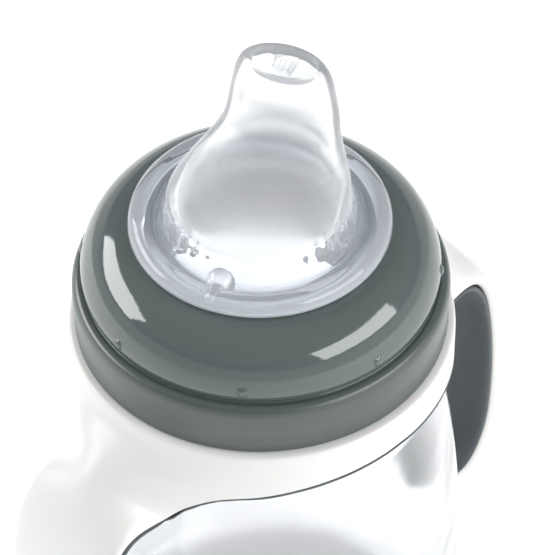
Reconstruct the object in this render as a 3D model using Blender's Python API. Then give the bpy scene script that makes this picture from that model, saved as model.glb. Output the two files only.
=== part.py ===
"""Training cup: clear wide-neck bottle, two-handled collar with soft grips, screw ring, soft spout.

All lengths are in millimetres and scaled to metres when a mesh is made. +Z is up, the bottle stands
on z = 0, and the two handles lie along +X and -X.
"""

import math

import bmesh
import bpy
from mathutils import Matrix, Vector

MM = 0.001

SEAT_Z = 104.0          # underside of the screw ring, the plane that everything stacks on
SEGMENTS = 48           # divisions round the bottle and the ring

NECK_R = 28.6
NECK_TOP = 17.8         # above the seat, as are all heights below
THREAD_LEAD = 6.0       # single-start right-hand thread
THREAD_CREST_R = 30.1
RING_BORE_R = 30.7
RING_CREST_R = 29.2

SKIRT_R = 35.0
LIP_R = 21.6            # hole in the ring's top, under the spout's bead
LIP_TOP = 23.2
PIP_COUNT = 8
PIP_FIRST_DEG = 39.7
PIP_R, PIP_HEIGHT = 32.8, 14.0

SPOUT_DEG = 23.0        # direction the spout leans in, seen from above
VENT_R, VENT_HEIGHT = 18.6, 25.6   # the vent pip stands on the opposite side
SLIT_COUNT, SLIT_PITCH = 5, 0.95
SLIT_LEAN = 12.25

COLLAR_CLEARANCE = 1.35  # collar's inside to the bottle's shoulder
LINER_GAP, LINER_THICK, LINER_LIP = 0.3, 0.6, 0.45
GRIP_GAP = 0.35

# Outer wall of the bottle below the neck: radius, height above the seat.
SHOULDER = [
    (28.9, -2.9), (30.4, -3.1), (32.0, -3.7), (33.2, -5.4), (33.75, -8.5), (34.3, -14.0),
    (35.0, -21.0), (35.9, -28.0), (36.9, -36.0), (37.6, -44.0), (38.15, -54.0), (38.4, -64.0),
    (38.4, -88.0), (38.1, -95.0), (37.6, -99.0), (36.6, -101.6), (34.6, -103.3), (31.5, -104.0),
]
WALL = 2.0
FLOOR = 2.6

# One half-petal of the handle frame, from the collar's top edge down to the arm's tip.
# Collar rows: outer middle x, z; edge angle, radius, z; inner middle z.
COLLAR_ROWS = [
    (36.4, -0.9, 90.0, 36.3, -0.9, -2.6),
    (36.65, -1.7, 90.0, 36.35, -2.6, -4.2),
    (36.95, -2.4, 90.0, 36.35, -4.6, -5.8),
    (37.4, -3.1, 90.0, 36.35, -6.6, -7.3),
    (37.9, -3.7, 90.0, 36.25, -8.4, -8.7),
    (38.4, -4.2, 78.0, 36.2, -8.8, -9.8),
    (38.95, -4.75, 66.0, 36.2, -9.4, -10.9),
    (39.55, -5.3, 55.0, 36.25, -10.2, -12.1),
    (40.2, -5.85, 46.0, 36.3, -11.2, -13.5),
    (40.9, -6.45, 38.5, 36.4, -11.6, -14.4),
    (41.65, -7.1, 32.0, 36.6, -12.6, -15.5),
    (42.55, -7.85, 27.0, 36.9, -14.4, -16.6),
]
# Arm rows: outer middle x, z; outer edge x, y, z; inner middle x, z; inner edge x, y, z.
ARM_ROWS = [
    (43.6, -8.8, 34.8, 14.2, -16.3, 36.5, -17.6, 34.4, 13.2, -16.7),
    (44.9, -10.1, 36.9, 13.1, -17.6, 38.6, -18.2, 37.0, 12.2, -18.1),
    (46.4, -11.8, 39.9, 12.5, -17.7, 41.3, -18.0, 40.0, 11.7, -18.3),
    (48.2, -14.0, 43.3, 12.2, -17.4, 44.0, -18.2, 43.2, 11.5, -18.2),
    (50.2, -16.9, 46.6, 12.1, -18.1, 46.8, -19.2, 46.2, 11.4, -18.9),
    (52.3, -20.7, 49.5, 12.1, -20.6, 49.1, -22.0, 48.7, 11.5, -21.2),
    (54.4, -26.0, 51.6, 12.1, -25.3, 50.9, -26.6, 50.6, 11.6, -25.7),
    (56.1, -32.2, 53.0, 12.0, -31.6, 52.0, -32.4, 51.9, 11.6, -31.9),
    (57.2, -40.0, 54.1, 11.8, -39.4, 53.1, -40.0, 53.0, 11.4, -39.6),
    (57.6, -48.6, 54.9, 11.5, -48.0, 53.9, -48.4, 53.8, 11.1, -48.1),
    (57.6, -57.4, 55.2, 11.1, -57.0, 54.2, -57.2, 54.1, 10.7, -57.0),
    (57.3, -65.7, 55.0, 10.7, -65.4, 54.0, -65.4, 53.9, 10.3, -65.2),
    (56.2, -72.5, 53.8, 10.1, -72.0, 52.9, -71.8, 52.7, 9.7, -71.6),
    (54.6, -78.4, 52.0, 9.2, -77.8, 51.3, -77.6, 51.0, 8.8, -77.2),
    (52.75, -83.1, 50.4, 7.6, -82.0, 49.8, -82.0, 49.4, 7.2, -81.4),
    (50.85, -86.6, 49.0, 4.9, -85.4, 48.5, -85.4, 48.2, 4.5, -84.6),
    (49.5, -88.6, 48.6, 2.2, -87.8, 47.9, -87.2, 47.9, 2.0, -86.8),
]
# Finger side of each grip: middle x, z; edge x, y, z. One row per arm row, from the second on.
GRIP_FRONT = [
    (38.5, -19.5, 37.1, 12.8, -18.75),
    (41.0, -19.9, 40.0, 12.4, -18.9),
    (43.2, -20.6, 43.0, 12.1, -18.85),
    (45.2, -22.0, 45.7, 12.0, -19.5),
    (46.9, -24.7, 48.1, 12.0, -21.9),
    (48.3, -28.6, 50.0, 12.0, -26.3),
    (49.4, -33.8, 51.3, 11.9, -32.3),
    (50.3, -40.7, 52.4, 11.7, -39.8),
    (50.9, -48.6, 53.2, 11.4, -48.2),
    (51.2, -57.2, 53.5, 11.0, -57.0),
    (50.9, -65.3, 53.3, 10.6, -65.2),
    (49.8, -71.6, 52.1, 10.0, -71.5),
    (48.0, -77.2, 50.4, 9.1, -77.0),
    (46.4, -81.6, 48.8, 7.5, -81.1),
    (45.3, -84.8, 47.6, 4.8, -84.2),
    (45.2, -86.4, 46.9, 2.2, -86.3),
]
PETAL_COLUMNS = 20
ROOT_FALL, ARM_FALL = 1.2, 0.4   # how squarely a cross-section falls to its edges

# Rings of the silicone spout: height, lean, half length, half width.
SPOUT_OUTSIDE = [
    (18.15, 0.0, 28.0, 28.0), (20.1, 0.0, 28.0, 28.0), (20.35, 0.0, 27.7, 27.7),
    (20.35, 0.0, 21.2, 21.2), (23.5, 0.0, 21.2, 21.2), (23.5, 0.0, 23.4, 23.4),
    (23.8, 0.0, 24.05, 24.05), (24.6, 0.0, 24.15, 24.15), (25.6, 0.0, 23.8, 23.8),
    (26.4, 0.0, 23.0, 23.0), (26.8, 0.0, 21.8, 21.8), (26.4, 0.0, 20.5, 20.5),
    (25.2, 0.0, 19.6, 19.6), (24.4, 0.0, 18.9, 18.9), (24.8, 0.0, 18.4, 18.4),
    (26.6, 0.0, 18.0, 18.0), (29.0, 0.0, 17.4, 17.4), (30.6, 0.1, 16.9, 16.9),
    (31.7, 1.2, 16.2, 16.0), (33.0, 3.5, 15.1, 14.5), (35.0, 6.75, 13.45, 11.2),
    (37.0, 9.4, 12.0, 8.6), (39.5, 11.1, 11.05, 6.9), (43.0, 11.9, 10.55, 6.1),
    (47.0, 12.05, 9.9, 5.6), (50.3, 12.1, 9.25, 5.2), (52.0, 12.15, 8.5, 4.8),
    (52.9, 12.2, 7.7, 4.4), (53.2, 12.25, 7.0, 4.1), (53.0, 12.25, 6.4, 3.8),
    (52.2, 12.25, 6.1, 3.5),
]
SPOUT_INSIDE = [
    (51.0, 12.25, 5.9, 3.3), (50.2, 12.1, 6.8, 3.6), (47.0, 11.95, 7.7, 3.95),
    (42.5, 11.8, 8.3, 4.2), (38.35, 10.85, 9.0, 5.15), (35.4, 8.75, 10.3, 7.15),
    (33.3, 5.9, 11.8, 9.8), (31.3, 2.35, 13.9, 12.85), (29.8, 0.15, 14.8, 14.75),
    (28.4, 0.0, 15.4, 15.4), (26.0, 0.0, 16.2, 16.2), (23.0, 0.0, 16.9, 16.9),
    (18.15, 0.0, 17.5, 17.5),
]
SPOUT_SEGMENTS = 36


def clear_scene():
    for obj in list(bpy.data.objects):
        bpy.data.objects.remove(obj, do_unlink=True)


def make_material(name, colour, roughness, alpha=1.0):
    material = bpy.data.materials.new(name)
    material.use_nodes = True
    shader = material.node_tree.nodes["Principled BSDF"]
    shader.inputs["Base Color"].default_value = (*colour, 1.0)
    shader.inputs["Roughness"].default_value = roughness
    shader.inputs["Metallic"].default_value = 0.0
    shader.inputs["Alpha"].default_value = alpha
    return material


def finish_mesh(name, bm, material=None, sharp_deg=40.0):
    """Welds, faces outwards, scales to metres and lifts to the seat; returns the linked object."""
    bmesh.ops.remove_doubles(bm, verts=bm.verts, dist=1e-4)
    bmesh.ops.recalc_face_normals(bm, faces=bm.faces)
    bmesh.ops.transform(
        bm, verts=bm.verts, matrix=Matrix.Scale(MM, 4) @ Matrix.Translation((0, 0, SEAT_Z))
    )
    mesh = bpy.data.meshes.new(name)
    bm.to_mesh(mesh)
    bm.free()
    mesh.shade_smooth()
    mesh.set_sharp_from_angle(angle=math.radians(sharp_deg))
    obj = bpy.data.objects.new(name, mesh)
    bpy.context.scene.collection.objects.link(obj)
    if material:
        mesh.materials.append(material)
    return obj


def lathe(name, profile, material=None, closed=True, segments=SEGMENTS):
    """Spins a radius-height profile once round Z."""
    bm = bmesh.new()
    verts = [bm.verts.new((r, 0.0, z)) for r, z in profile]
    chain = list(zip(verts, verts[1:]))
    if closed:
        chain.append((verts[-1], verts[0]))
    edges = [bm.edges.new(pair) for pair in chain]
    bmesh.ops.spin(
        bm, geom=verts + edges, cent=(0, 0, 0), axis=(0, 0, 1), angle=math.tau,
        steps=segments, use_merge=True,
    )
    return finish_mesh(name, bm, material)


def loft(name, loops, material=None, sharp_deg=40.0):
    """Joins closed loops of equal length and caps both ends."""
    bm = bmesh.new()
    rows = [[bm.verts.new(point) for point in loop] for loop in loops]
    count = len(rows[0])
    for low, high in zip(rows, rows[1:]):
        for i in range(count):
            j = (i + 1) % count
            bm.faces.new((low[i], low[j], high[j], high[i]))
    bm.faces.new(rows[0])
    bm.faces.new(rows[-1])
    return finish_mesh(name, bm, material, sharp_deg)


def thread_ridge(name, root_r, crest_r, z_start, turns):
    """A helical ridge whose root sinks into the wall that carries it, with tapered ends."""
    steps = int(turns * 40)
    sink = -0.5 if crest_r > root_r else 0.5
    loops = []
    for i in range(steps + 1):
        angle = math.tau * turns * i / steps
        z = z_start + THREAD_LEAD * angle / math.tau
        end = min(1.0, i / 4, (steps - i) / 4)
        crest = root_r + (crest_r - root_r) * (0.12 + 0.88 * end)
        section = [(root_r + sink, -1.35), (crest, -0.6), (crest, 0.6), (root_r + sink, 1.35)]
        loops.append([(r * math.cos(angle), r * math.sin(angle), z + dz) for r, dz in section])
    return loft(name, loops)


def combine(obj, tool, operation):
    """Adds an exact Boolean and hides its tool."""
    tool.hide_render = True
    tool.display_type = "WIRE"
    modifier = obj.modifiers.new(tool.name, "BOOLEAN")
    modifier.operation = operation
    modifier.solver = "EXACT"
    modifier.object = tool


def ball(name, radius, centre, stretch=1.0):
    bm = bmesh.new()
    bmesh.ops.create_uvsphere(bm, u_segments=10, v_segments=6, radius=radius)
    bmesh.ops.scale(bm, vec=(1, 1, stretch), verts=bm.verts)
    bmesh.ops.translate(bm, vec=centre, verts=bm.verts)
    return finish_mesh(name, bm)


def vent_leg(centre, direction):
    """A tapering rib from the vent pip out over the bead."""
    bm = bmesh.new()
    bmesh.ops.create_cone(bm, cap_ends=True, segments=16, radius1=2.25, radius2=0.55, depth=4.9)
    bmesh.ops.rotate(bm, verts=bm.verts, cent=(0, 0, 0), matrix=Matrix.Rotation(math.pi / 2, 3, "Y"))
    bmesh.ops.rotate(bm, verts=bm.verts, cent=(0, 0, 0), matrix=Matrix.Rotation(direction, 3, "Z"))
    outward = Vector((math.cos(direction), math.sin(direction), 0.0))
    bmesh.ops.translate(bm, verts=bm.verts, vec=centre + outward * 2.65 + Vector((0.0, 0.0, 0.45)))
    return finish_mesh("vent_leg", bm)


def slot_cutters(name, size, centres, turn_deg):
    """One mesh of equal boxes, each turned about Z."""
    bm = bmesh.new()
    for centre in centres:
        made = bmesh.ops.create_cube(bm, size=1.0)["verts"]
        bmesh.ops.scale(bm, vec=size, verts=made)
        bmesh.ops.rotate(
            bm, verts=made, cent=(0, 0, 0), matrix=Matrix.Rotation(math.radians(turn_deg), 3, "Z")
        )
        bmesh.ops.translate(bm, vec=centre, verts=made)
    return finish_mesh(name, bm)


def interpolate(x, pairs):
    """Piecewise-linear value at x of (x, y) pairs in rising x."""
    if x <= pairs[0][0]:
        return pairs[0][1]
    for (x0, y0), (x1, y1) in zip(pairs, pairs[1:]):
        if x <= x1:
            return y0 + (y1 - y0) * (x - x0) / (x1 - x0)
    return pairs[-1][1]


def bottle_radius(z):
    return interpolate(z, [(height, r) for r, height in reversed(SHOULDER)])


def build_bottle(material):
    neck = [(26.5, NECK_TOP - 0.4), (26.9, NECK_TOP), (28.2, NECK_TOP), (NECK_R, NECK_TOP - 0.4),
            (NECK_R, -2.6)]
    inside = [(r - WALL, z) for r, z in SHOULDER[6:14]]
    profile = neck + SHOULDER + [(0.0, -SEAT_Z), (0.0, -SEAT_Z + FLOOR)]
    profile += [(31.0, -SEAT_Z + FLOOR), (33.8, -100.7), (35.4, -98.4)] + inside[::-1]
    profile += [(32.2, -14.0), (31.6, -9.0), (30.4, -6.9), (28.2, -5.9), (26.9, -4.9), (26.5, -3.6)]
    bottle = lathe("bottle_body", profile, material)
    combine(bottle, thread_ridge("neck_thread", NECK_R, THREAD_CREST_R, 4.0, 1.25), "UNION")


def build_ring(material):
    skirt = [(31.2, 0.0), (34.0, 0.0), (34.3, 0.3), (34.8, 4.4), (SKIRT_R, 8.0), (34.95, 9.4),
             (34.6, 10.3), (33.9, 10.8), (32.9, 10.85), (32.7, 11.2), (33.05, 11.8)]
    dome = [(33.25, 12.8), (33.25, 13.8), (33.05, 15.0), (32.6, 16.5), (31.8, 18.2), (30.7, 19.8), (29.2, 21.2),
            (27.6, 22.3), (25.9, 23.0), (24.3, LIP_TOP)]
    lip = [(LIP_R + 0.3, LIP_TOP), (LIP_R, LIP_TOP - 0.3), (LIP_R, 21.0), (LIP_R + 0.3, 20.7)]
    inside = [(28.2, 20.7), (29.3, 20.1), (30.2, 18.6), (RING_BORE_R, 16.2), (RING_BORE_R, 0.6)]
    ring = lathe("screw_ring", skirt + dome + lip + inside, material)
    ridge = thread_ridge("ring_thread", RING_BORE_R, RING_CREST_R, 4.0 - THREAD_LEAD / 2 + 1.5, 0.75)
    turn_ridge_to_match(ridge)
    combine(ring, ridge, "UNION")
    for i in range(PIP_COUNT):
        angle = math.radians(PIP_FIRST_DEG + 360.0 * i / PIP_COUNT)
        centre = (PIP_R * math.cos(angle), PIP_R * math.sin(angle), PIP_HEIGHT)
        combine(ring, ball(f"ring_pip_{i}", 0.8, centre), "UNION")


def turn_ridge_to_match(ridge):
    """The ring's ridge starts a quarter turn on, so it keeps midway between the neck's turns."""
    ridge.rotation_euler = (0.0, 0.0, math.tau * 1.5 / THREAD_LEAD)


def spout_ring(z, lean, half_length, half_width):
    lean_dir = Vector((math.cos(math.radians(SPOUT_DEG)), math.sin(math.radians(SPOUT_DEG)), 0.0))
    across = Vector((-lean_dir.y, lean_dir.x, 0.0))
    centre = lean_dir * lean + Vector((0.0, 0.0, z))
    points = []
    for i in range(SPOUT_SEGMENTS):
        angle = math.tau * i / SPOUT_SEGMENTS
        points.append(
            centre + across * half_length * math.cos(angle) + lean_dir * half_width * math.sin(angle)
        )
    return points


def build_spout(material):
    bm = bmesh.new()
    rings = [spout_ring(*ring) for ring in SPOUT_OUTSIDE + SPOUT_INSIDE]
    rows = [[bm.verts.new(point) for point in ring] for ring in rings]
    tip = len(SPOUT_OUTSIDE)
    bm.faces.new(rows[tip - 1])
    bm.faces.new(rows[tip])
    pairs = [(i, i + 1) for i in range(len(rows) - 1) if i != tip - 1] + [(len(rows) - 1, 0)]
    for low, high in pairs:
        for i in range(SPOUT_SEGMENTS):
            j = (i + 1) % SPOUT_SEGMENTS
            bm.faces.new((rows[low][i], rows[low][j], rows[high][j], rows[high][i]))
    spout = finish_mesh("drinking_spout", bm, material)

    vent = math.radians(SPOUT_DEG + 180.0)
    centre = Vector((VENT_R * math.cos(vent), VENT_R * math.sin(vent), VENT_HEIGHT))
    combine(spout, ball("vent_pip", 2.7, centre, 1.15), "UNION")
    combine(spout, vent_leg(centre, vent), "UNION")
    top = centre + Vector((0.0, 0.0, 3.0))
    combine(spout, slot_cutters("vent_slit", (2.6, 0.35, 1.8), [top], SPOUT_DEG), "DIFFERENCE")

    lean = math.radians(SPOUT_DEG)
    across = math.radians(SPOUT_DEG + 90.0)
    centres = []
    for i in range(SLIT_COUNT):
        offset = (i - (SLIT_COUNT - 1) / 2) * SLIT_PITCH
        centres.append((
            SLIT_LEAN * math.cos(lean) + offset * math.cos(across),
            SLIT_LEAN * math.sin(lean) + offset * math.sin(across),
            51.7,
        ))
    cutter = slot_cutters("tip_slits", (2.6, 0.2, 2.4), centres, SPOUT_DEG)
    combine(spout, cutter, "DIFFERENCE")


def collar_point(row, u, inner, fall=2.0):
    """A point of the frame's collar part, u from -1 to 1 across the petal."""
    mid_x, mid_z, edge_deg, edge_r, edge_z, inner_z = row
    angle = math.radians(edge_deg * u)
    sweep = math.sin(math.pi * u / 2) ** 2
    if inner:
        z = inner_z + (min(edge_z, -2.6) - inner_z) * sweep
        r = max(34.9, bottle_radius(z) + COLLAR_CLEARANCE)
    else:
        z = mid_z + (edge_z - mid_z) * sweep
        across = min(1.0, abs(edge_deg * u) / min(edge_deg, 45.0))
        r = edge_r + (mid_x - edge_r) * falling(across, fall)
    return Vector((r * math.cos(angle), r * math.sin(angle), z))


def falling(across, power):
    """1 in the middle, 0 at the edge; a low power keeps it high until near the edge."""
    return max(0.0, math.cos(math.pi * across / 2)) ** power


def arm_point(row, u, inner, fall=1.0):
    """A point of the frame's arm: pillowed outside, nearly flat inside."""
    mid_x, mid_z, edge_x, edge_y, edge_z = row[:5]
    if inner:
        mid_x, mid_z, edge_x, edge_y, edge_z = row[5:]
        return Vector((mid_x + (edge_x - mid_x) * u * u, edge_y * u,
                       mid_z + (edge_z - mid_z) * u * u))
    drop = 1.0 - falling(abs(u), fall)
    return Vector((mid_x + (edge_x - mid_x) * drop, edge_y * math.sin(math.pi * u / 2),
                   mid_z + (edge_z - mid_z) * drop))


def arm_row_as_collar(row):
    """The same edge and middle as an arm row, in the collar rows' terms, to blend the two."""
    edge_x, edge_y = row[2], row[3]
    return (row[0], row[1], math.degrees(math.atan2(edge_y, edge_x)), math.hypot(edge_x, edge_y),
            row[4], row[6])


def petal_sheet(inner):
    """Rows of points of one handle's half of the frame, top edge first."""
    sheet = []
    for i, row in enumerate(COLLAR_ROWS):
        fall = 2.0 - max(0.0, (i - 4) / 7) * (2.0 - ROOT_FALL)
        sheet.append([collar_point(row, u, inner, fall) for u in petal_us()])
    for i, row in enumerate(ARM_ROWS):
        weight = 1.0 if inner else min(1.0, (i + 1) / 4)
        fall = max(ARM_FALL, ROOT_FALL - 0.16 * i)
        as_collar = arm_row_as_collar(row)
        sheet.append([
            arm_point(row, u, inner, fall) * weight
            + collar_point(as_collar, u, False, ROOT_FALL) * (1.0 - weight)
            for u in petal_us()
        ])
    return sheet


def petal_us():
    """Positions across a petal from -1 to 1, closer together near its edges."""
    steps = [2.0 * i / PETAL_COLUMNS - 1.0 for i in range(PETAL_COLUMNS + 1)]
    return [0.5 * step + 0.5 * math.sin(math.pi * step / 2) for step in steps]


def collar_arc(radius, z):
    return [Vector((radius * math.cos(math.pi * u / 2), radius * math.sin(math.pi * u / 2), z))
            for u in petal_us()]


def build_frame(material):
    bm = bmesh.new()
    outside = petal_sheet(inner=False)
    inside = petal_sheet(inner=True)
    flange = [collar_arc(29.3, -2.6), collar_arc(29.3, -0.35), collar_arc(35.8, -0.35)]
    seam = 4
    for turn in (0.0, math.pi):
        place = Matrix.Rotation(turn, 3, "Z")
        out_rows, in_rows, flange_rows = (
            [[bm.verts.new(place @ point) for point in row] for row in sheet]
            for sheet in (outside, inside, flange)
        )
        chain = in_rows[::-1] + flange_rows + out_rows
        for low, high in zip(chain, chain[1:]):
            for i in range(PETAL_COLUMNS):
                bm.faces.new((low[i], low[i + 1], high[i + 1], high[i]))
        last_out, last_in = out_rows[-1], in_rows[-1]
        for i in range(PETAL_COLUMNS):
            bm.faces.new((last_in[i], last_in[i + 1], last_out[i + 1], last_out[i]))
        for v in range(seam, len(out_rows) - 1):
            for end in (0, PETAL_COLUMNS):
                bm.faces.new(
                    (out_rows[v][end], out_rows[v + 1][end], in_rows[v + 1][end], in_rows[v][end])
                )
    finish_mesh("handle_frame", bm, material, sharp_deg=50.0)


def build_grip(name, turn, material):
    """Soft lining of one arm: its back follows the arm's inside, its front is rounded."""
    loops = []
    across = petal_us()[::2]
    for row, front in zip(ARM_ROWS[1:], GRIP_FRONT):
        mid = Vector((row[5], 0.0, row[6]))
        inward = Vector((front[0] - mid.x, 0.0, front[1] - mid.z)).normalized() * GRIP_GAP
        back = [arm_point(row, u, True) + inward for u in across]
        for point in (back[0], back[-1]):
            point.y *= (front[3] - GRIP_GAP) / row[8]
        face = [arm_point(front * 2, u, False) for u in across[::-1]]
        loops.append([Matrix.Rotation(turn, 3, "Z") @ point for point in back + face])
    loft(name, loops, material, sharp_deg=50.0)


def arch_edge(angle):
    """Radius and height of the collar's lower edge at an angle round the cup."""
    degrees = abs(math.degrees(angle)) % 180.0
    folded = min(degrees, 180.0 - degrees)
    edge = [(13.0, 36.2, -19.6), (17.5, 37.0, -19.0), (19.4, 38.2, -18.3), (22.2, 37.3, -16.8)]
    edge += [row[2:5] for row in COLLAR_ROWS[:3:-1]]
    radius = interpolate(folded, [(deg, r) for deg, r, _ in edge])
    return radius, interpolate(folded, [(deg, z) for deg, _, z in edge])


def build_liner(material):
    """A thin sleeve inside the collar, turned out under its arched lower edge."""
    bm = bmesh.new()
    columns = []
    for i in range(72):
        angle = math.tau * i / 72
        edge_r, edge_z = arch_edge(angle)
        low = edge_z - 0.15
        heights = [-4.4, -5.4, (low - 5.4) / 2, low]
        section = [(bottle_radius(z) + LINER_GAP + LINER_THICK, z) for z in heights]
        section += [(edge_r - 0.2, low), (edge_r - 0.3, low - LINER_LIP)]
        heights[-1] -= LINER_LIP
        section += [(bottle_radius(z) + LINER_GAP, z) for z in heights[::-1]]
        columns.append([
            bm.verts.new((r * math.cos(angle), r * math.sin(angle), z)) for r, z in section
        ])
    for here, there in zip(columns, columns[1:] + columns[:1]):
        for i in range(len(here)):
            j = (i + 1) % len(here)
            bm.faces.new((here[i], here[j], there[j], there[i]))
    finish_mesh("collar_liner", bm, material, sharp_deg=50.0)


def main():
    clear_scene()
    clear_plastic = make_material("clear_plastic", (0.86, 0.88, 0.90), 0.08, 0.35)
    white_plastic = make_material("white_plastic", (0.90, 0.89, 0.86), 0.32)
    grey_soft = make_material("grey_soft", (0.10, 0.12, 0.13), 0.62)
    grey_plastic = make_material("grey_plastic", (0.13, 0.15, 0.145), 0.22)
    silicone = make_material("silicone", (0.80, 0.83, 0.86), 0.30, 0.6)
    build_bottle(clear_plastic)
    build_frame(white_plastic)
    build_liner(grey_soft)
    build_grip("grip_right", 0.0, grey_soft)
    build_grip("grip_left", math.pi, grey_soft)
    build_ring(grey_plastic)
    build_spout(silicone)


main()
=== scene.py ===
"""Looks of the training cup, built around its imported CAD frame.

Shapes are written in millimetres above the seat, the plane the screw ring's underside lies on, and
are scaled to metres when a mesh is made. +Z is up and the handles lie along X.
"""

import math

import bmesh
import bpy
from mathutils import Matrix, Vector


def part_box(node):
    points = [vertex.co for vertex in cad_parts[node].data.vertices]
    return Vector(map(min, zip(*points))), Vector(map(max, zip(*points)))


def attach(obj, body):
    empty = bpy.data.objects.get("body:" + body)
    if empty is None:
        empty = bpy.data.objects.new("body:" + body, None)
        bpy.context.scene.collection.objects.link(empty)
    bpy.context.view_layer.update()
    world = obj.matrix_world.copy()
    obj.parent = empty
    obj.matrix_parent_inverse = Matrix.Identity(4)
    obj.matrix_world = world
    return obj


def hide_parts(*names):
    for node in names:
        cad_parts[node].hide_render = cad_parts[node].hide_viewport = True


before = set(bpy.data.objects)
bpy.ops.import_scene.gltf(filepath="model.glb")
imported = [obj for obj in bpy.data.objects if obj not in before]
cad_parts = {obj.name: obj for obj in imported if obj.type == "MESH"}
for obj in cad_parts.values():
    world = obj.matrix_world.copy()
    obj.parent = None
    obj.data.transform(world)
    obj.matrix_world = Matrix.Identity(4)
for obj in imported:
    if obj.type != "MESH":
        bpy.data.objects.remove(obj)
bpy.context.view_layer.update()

MM = 0.001
RING_LOW, RING_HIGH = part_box("screw_ring")
SPOUT_LOW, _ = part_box("drinking_spout")
BOTTLE_LOW, BOTTLE_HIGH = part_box("bottle_body")
SEAT = RING_LOW.z
BASE_Z = (BOTTLE_LOW.z - SEAT) / MM
NECK_TOP = (BOTTLE_HIGH.z - SEAT) / MM
BODY_R = BOTTLE_HIGH.x / MM
SKIRT_R = RING_HIGH.x / MM
LIP_TOP = (RING_HIGH.z - SEAT) / MM
FLANGE_Z = (SPOUT_LOW.z - SEAT) / MM

# ---------------------------------------------------------------- shape helpers


def spline(points, steps):
    """Centripetal Catmull-Rom through points of any length, `steps` samples to a span."""
    points = [Vector(point) for point in points]
    ends = [points[0] * 2 - points[1]] + points + [points[-1] * 2 - points[-2]]
    samples = []
    for p0, p1, p2, p3 in zip(ends, ends[1:], ends[2:], ends[3:]):
        t0 = 0.0
        t1 = t0 + math.sqrt((p1 - p0).length) + 1e-9
        t2 = t1 + math.sqrt((p2 - p1).length) + 1e-9
        t3 = t2 + math.sqrt((p3 - p2).length) + 1e-9
        for i in range(steps):
            t = t1 + (t2 - t1) * i / steps
            a1 = p0 * ((t1 - t) / (t1 - t0)) + p1 * ((t - t0) / (t1 - t0))
            a2 = p1 * ((t2 - t) / (t2 - t1)) + p2 * ((t - t1) / (t2 - t1))
            a3 = p2 * ((t3 - t) / (t3 - t2)) + p3 * ((t - t2) / (t3 - t2))
            b1 = a1 * ((t2 - t) / (t2 - t0)) + a2 * ((t - t0) / (t2 - t0))
            b2 = a2 * ((t3 - t) / (t3 - t1)) + a3 * ((t - t1) / (t3 - t1))
            samples.append(b1 * ((t2 - t) / (t2 - t1)) + b2 * ((t - t1) / (t2 - t1)))
    samples.append(points[-1])
    return samples


def rounded(points, steps=4):
    """A polyline of (r, z, fillet radius) with each inner corner rounded by an arc.

    slerp gives unit vectors, so every arc has a radius of 1 about its fillet's centre, and stands
    past its two legs by 1 mm less the fillet radius.
    """
    path = [Vector(points[0][:2])]
    for before, here, after in zip(points, points[1:], points[2:]):
        corner, radius = Vector(here[:2]), here[2]
        to_before = (Vector(before[:2]) - corner).normalized()
        to_after = (Vector(after[:2]) - corner).normalized()
        half = to_before.angle(to_after) / 2
        if radius == 0.0 or half > math.radians(88):
            path.append(corner)
            continue
        reach = radius / math.tan(half)
        centre = corner + (to_before + to_after).normalized() * (radius / math.sin(half))
        start, end = corner + to_before * reach - centre, corner + to_after * reach - centre
        for i in range(steps + 1):
            path.append(centre + start.slerp(end, i / steps))
    path.append(Vector(points[-1][:2]))
    return path


def to_object(name, bm, materials, smooth_deg=35.0):
    """Welds, faces outwards, scales to metres and lifts to the seat."""
    bmesh.ops.remove_doubles(bm, verts=bm.verts, dist=1e-4)
    bmesh.ops.recalc_face_normals(bm, faces=bm.faces)
    lift = Matrix.Translation((0, 0, SEAT)) @ Matrix.Scale(MM, 4)
    bmesh.ops.transform(bm, verts=bm.verts, matrix=lift)
    mesh = bpy.data.meshes.new(name)
    bm.to_mesh(mesh)
    bm.free()
    mesh.shade_smooth()
    mesh.set_sharp_from_angle(angle=math.radians(smooth_deg))
    for material in materials:
        mesh.materials.append(material)
    obj = bpy.data.objects.new(name, mesh)
    bpy.context.scene.collection.objects.link(obj)
    return obj


def turned(profile, angles, shift=None):
    """A closed profile of (r, z) carried round Z through `angles`; shift(r, z, angle) may move a point."""
    bm = bmesh.new()
    columns = []
    for angle in angles:
        column = []
        for r, z in profile:
            if shift:
                r, z = shift(r, z, angle)
            column.append(bm.verts.new((r * math.cos(angle), r * math.sin(angle), z)))
        columns.append(column)
    count = len(profile)
    for here, there in zip(columns, columns[1:] + columns[:1]):
        for i in range(count):
            j = (i + 1) % count
            corners = dict.fromkeys((here[i], there[i], there[j], here[j]))
            bm.faces.new(corners)
    return bm


def even_angles(count):
    return [math.tau * i / count for i in range(count)]


def ridge_height(z, angle, z_start, lead, turns, half_width):
    """How much of a thread ridge stands at (angle, z): 1 on its crest, 0 off it."""
    best = 0.0
    for turn in range(3):
        along = angle / math.tau + turn
        if along > turns:
            continue
        fade = min(1.0, along * 9.0, (turns - along) * 9.0)
        off = abs(z - (z_start + lead * along)) / half_width
        best = max(best, fade * min(1.0, max(0.0, 2.0 - off)))
    return best


def subdivide(obj, levels):
    modifier = obj.modifiers.new("smooth", "SUBSURF")
    modifier.levels = levels
    modifier.render_levels = levels


def finish_piece(obj, body, slot, *nodes):
    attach(obj, body)
    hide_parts(*nodes)


# ---------------------------------------------------------------- materials


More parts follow.
